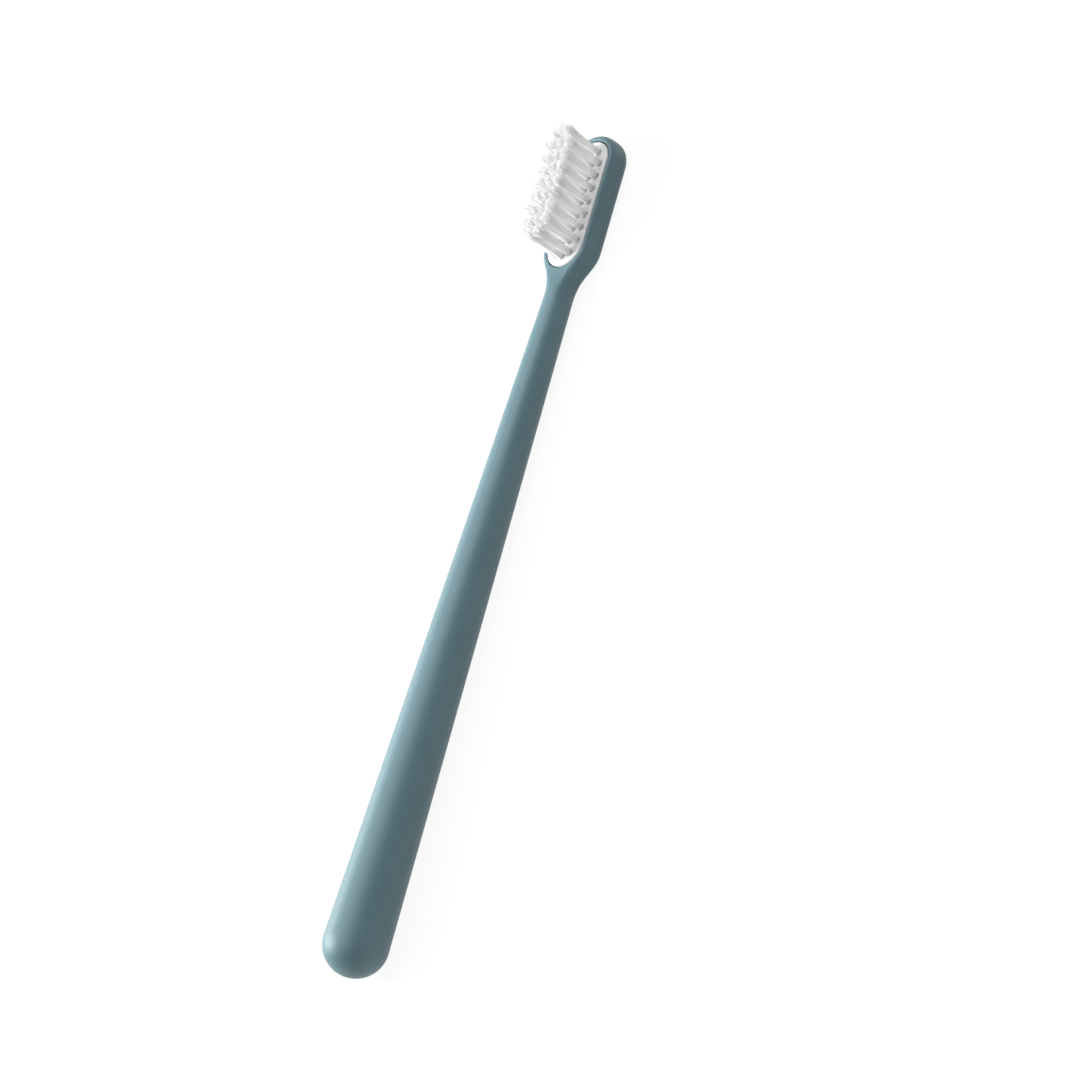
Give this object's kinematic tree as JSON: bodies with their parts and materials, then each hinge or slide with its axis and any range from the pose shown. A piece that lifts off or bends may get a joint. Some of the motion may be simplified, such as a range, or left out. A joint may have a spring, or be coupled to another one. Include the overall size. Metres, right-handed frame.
{
  "type": "toothbrush",
  "caption": "Manual toothbrush with a tapered round handle, a racetrack ring at its end and a replaceable bristle head that snaps into the ring and is pushed out from behind.",
  "frame": {"origin": "middle of the brush's overall length and width, on the plane of the ring's flat back, with the brush lying on its back", "axes": "+Y along the handle towards the tip of the ring, +Z along the bristles, away from the ring's back, X across"},
  "size_m": [0.0134, 0.19, 0.0167],
  "materials": {
    "handle_plastic": "satin dusty teal",
    "plate_plastic": "glossy white",
    "anchor_wire": "plain wire",
    "bristles": "translucent white nylon"
  },
  "bodies": {
    "handle": {"grip": "handle_plastic", "ring": "handle_plastic"},
    "head": {"head_plate": "plate_plastic", "tuft_anchors": "anchor_wire", "tuft_01": "bristles", "tuft_02": "bristles", "tuft_03": "bristles", "tuft_04": "bristles", "tuft_05": "bristles", "tuft_06": "bristles", "tuft_07": "bristles", "tuft_08": "bristles", "tuft_09": "bristles", "tuft_10": "bristles", "tuft_11": "bristles", "tuft_12": "bristles", "tuft_13": "bristles", "tuft_14": "bristles", "tuft_15": "bristles", "tuft_16": "bristles", "tuft_17": "bristles", "tuft_18": "bristles", "tuft_19": "bristles", "tuft_20": "bristles", "tuft_21": "bristles", "tuft_22": "bristles", "tuft_23": "bristles", "tuft_24": "bristles", "tuft_25": "bristles", "tuft_26": "bristles", "tuft_27": "bristles", "tuft_28": "bristles", "tuft_29": "bristles", "tuft_30": "bristles", "tuft_31": "bristles", "tuft_32": "bristles", "tuft_33": "bristles", "tuft_34": "bristles"}
  },
  "joints": [
    {"name": "head_slide", "type": "slide", "parent": "handle", "child": "head", "axis": [0, 0, 1], "range_m": [0, 0.041]}
  ]
}
